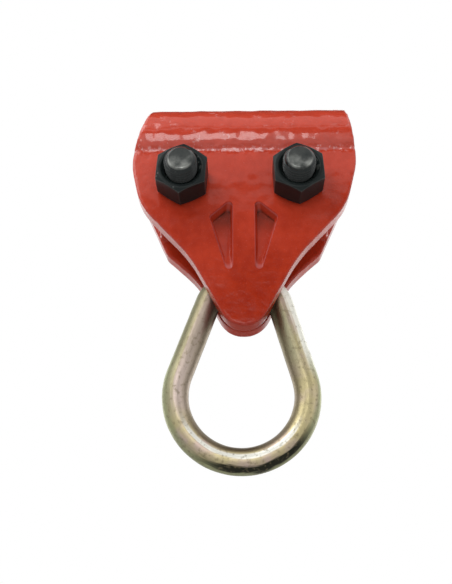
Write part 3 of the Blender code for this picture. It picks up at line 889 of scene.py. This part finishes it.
# Grey for worn steel and for painted highlights
WORN_AND_LIT_GREY = (0.36, 0.37, 0.345, 1)
BLOTCHES = (160.0, 4.0)
MILL_SCALE = (900.0, 2.0)
BROWN_BLOTCHES = (0.5, 0.8)
BROWN_SHOWS = 0.6
RUBBED_END = (-0.0390, -0.0380)
LIT_LOW_HEIGHTS = (-0.036, -0.029)
LIT_LOW_WANDER = 0.012
LIT_LOW_LEAST = 0.12
RUBBED_BLOTCHES = (0.15, 0.60)
BRIGHT_POINTS = (0.506, 0.55)
WORN_METAL = 0.5
ROUGHER_BLOTCHES = 0.16
ROUGHER_SCALE = 0.10


def hexagon(low, high, x, turn, low_chamfer):
    """Hexagonal bar along Y with one corner up, its outer corners turned off."""
    bm = bmesh.new()
    bmesh.ops.create_cone(
        bm, cap_ends=True, segments=6, radius1=HEX_CORNER, radius2=HEX_CORNER,
        depth=2 * (high - low), matrix=(Matrix.Translation((x, (low + high) / 2, BOLT_Z))
                                        @ Matrix.Rotation(-turn, 4, "Y")
                                        @ Matrix.Rotation(QUARTER_TURN, 4, "X")))
    bar = new_piece("hexagon", bm)
    profile = [(0, low), (HEX_OUTER, low)]
    if low_chamfer:
        profile = [(0, low), (HEX_FACE, low), (HEX_OUTER, low + HEX_CHAMFER_FALL)]
    profile += [(HEX_OUTER, high - HEX_CHAMFER_FALL), (HEX_FACE, high), (0, high)]
    carve(bar, turned(profile, x, BOLT_Z), "INTERSECT")
    return bar


def thread(x):
    """Right-hand thread from inside the jaw to the bolt's end, where its last turns taper off."""
    bm = bmesh.new()
    start = THREAD_START + THREAD_SPARE_TURNS * THREAD_PITCH
    verts = [bm.verts.new((radius, start - share * THREAD_PITCH, 0))
             for radius, share in THREAD_PROFILE]
    edges = [bm.edges.new(pair) for pair in zip(verts, verts[1:])]
    turns = math.ceil((THREAD_START - BOLT_END) / THREAD_PITCH) + 2 * THREAD_SPARE_TURNS
    bmesh.ops.spin(bm, geom=verts + edges, cent=(0, 0, 0), axis=(0, -1, 0), angle=turns * math.tau,
                   steps=turns * THREAD_STEPS, dvec=(0, -THREAD_PITCH / THREAD_STEPS, 0))
    bmesh.ops.remove_doubles(bm, verts=bm.verts, dist=MERGE_DISTANCE)
    for y, keep in ((BOLT_END, -1), (THREAD_START, 1)):
        cut = bmesh.ops.bisect_plane(bm, geom=bm.verts[:] + bm.edges[:] + bm.faces[:],
                                     plane_co=(0, y, 0), plane_no=(0, keep, 0),
                                     clear_outer=True)["geom_cut"]
        edges = [item for item in cut if isinstance(item, bmesh.types.BMEdge)]
        bmesh.ops.edgeloop_fill(bm, edges=edges)
    for vert in bm.verts:
        radius = math.hypot(vert.co.x, vert.co.z)
        share = (vert.co.y - BOLT_END) / BOLT_END_CHAMFER
        limit = BOLT_END_RADIUS + (BOLT_RADIUS - BOLT_END_RADIUS) * share
        if radius > limit:
            vert.co.x *= limit / radius
            vert.co.z *= limit / radius
    bmesh.ops.translate(bm, verts=bm.verts, vec=(x, 0, BOLT_Z))
    return new_piece("thread", bm)


def blackened(name, gloss, roughness, edge_wear_and_highlight, relief):
    """Oxide finish with brown blotches; grey on edges and on the bolts' turned ends, partly wear
    and partly painted highlight.
    """
    material, shade, place = new_finish(name)
    blotches = speckle(place, *BLOTCHES)
    scale = speckle(place, *MILL_SCALE)
    # Grey on sharp edges: partly wear, partly painted highlight
    edges = shade.node("ShaderNodeNewGeometry", {}, {}, "Pointiness").rise(*BRIGHT_POINTS)
    # Painted highlight: the grey on the bolts' ends is strongest towards their lower side
    height = place.part("Z") - LIT_LOW_WANDER * (blotches - NOISE_MIDDLE)
    lit_low = LIT_LOW_LEAST + (1 - LIT_LOW_LEAST) * height.fall(*LIT_LOW_HEIGHTS)
    end = place.part("Y").fall(*RUBBED_END)
    wear_and_highlight = end * lit_low * blotches.rise(*RUBBED_BLOTCHES) + edge_wear_and_highlight * edges
    oxide = (BROWN_SHOWS * blotches.rise(*BROWN_BLOTCHES)).mix(OXIDE_BLACK, OXIDE_BROWN)
    set_surface(material, shade, {
        "Base Color": wear_and_highlight.mix(oxide, WORN_AND_LIT_GREY),
        "Metallic": WORN_METAL * wear_and_highlight,
        "Roughness": roughness + ROUGHER_BLOTCHES * blotches + ROUGHER_SCALE * scale,
        "Specular IOR Level": gloss,
    }, scale + blotches, relief)
    return material


bolt_oxide = blackened("bolt_oxide", gloss=0.32, roughness=0.05, edge_wear_and_highlight=0.045, relief=0.000008)
for hand, x in BOLT_PLACES.items():
    name = hand + "_bolt"
    bolt = hexagon(HEAD_SEAT, HEAD_TOP, x, 0, False)
    bolt.name = name + "_threaded"
    shank = rod(BOLT_RADIUS - STEEL_INSET, SHANK_START, (HEAD_SEAT + HEAD_TOP) / 2, x, BOLT_Z)
    carve(bolt, shank, "UNION")
    carve(bolt, thread(x), "UNION")
    soften(bolt, STEEL_GRAIN, STEEL_SOFTENING)
    paint(bolt, bolt_oxide)
    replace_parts(bolt, name)
    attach(bolt, "clamp")


# Nuts: two forged hexagon nuts that run on the bolts and press the front jaw home. Chamfered on
# both faces and blackened like the bolts, with brighter steel along the spanner's corners, partly
# wear and partly painted highlight.
NUT_OUT = -0.0312
NUT_SEAT = -0.0167
NUT_BORE = 0.0083
NUT_COUNTERSINK = 0.0018
NUT_MOUTH = NUT_BORE + 2 * NUT_COUNTERSINK
NUT_TURNS = {"left": math.radians(-4), "right": math.radians(3)}

nut_oxide = blackened("nut_oxide", gloss=0.18, roughness=0.28, edge_wear_and_highlight=0.19, relief=0.00003)
for hand, x in BOLT_PLACES.items():
    name = hand + "_nut"
    nut = hexagon(NUT_OUT, NUT_SEAT, x, NUT_TURNS[hand], True)
    nut.name = name + "_forged"
    bore = turned([
        (0, NUT_OUT - NUT_COUNTERSINK), (NUT_MOUTH, NUT_OUT - NUT_COUNTERSINK),
        (NUT_BORE, NUT_OUT + NUT_COUNTERSINK), (NUT_BORE, NUT_SEAT - NUT_COUNTERSINK),
        (NUT_MOUTH, NUT_SEAT + NUT_COUNTERSINK), (0, NUT_SEAT + NUT_COUNTERSINK),
    ], x, BOLT_Z)
    carve(nut, bore, "DIFFERENCE")
    soften(nut, STEEL_GRAIN, STEEL_SOFTENING)
    paint(nut, nut_oxide)
    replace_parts(nut, name)
    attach(nut, name)
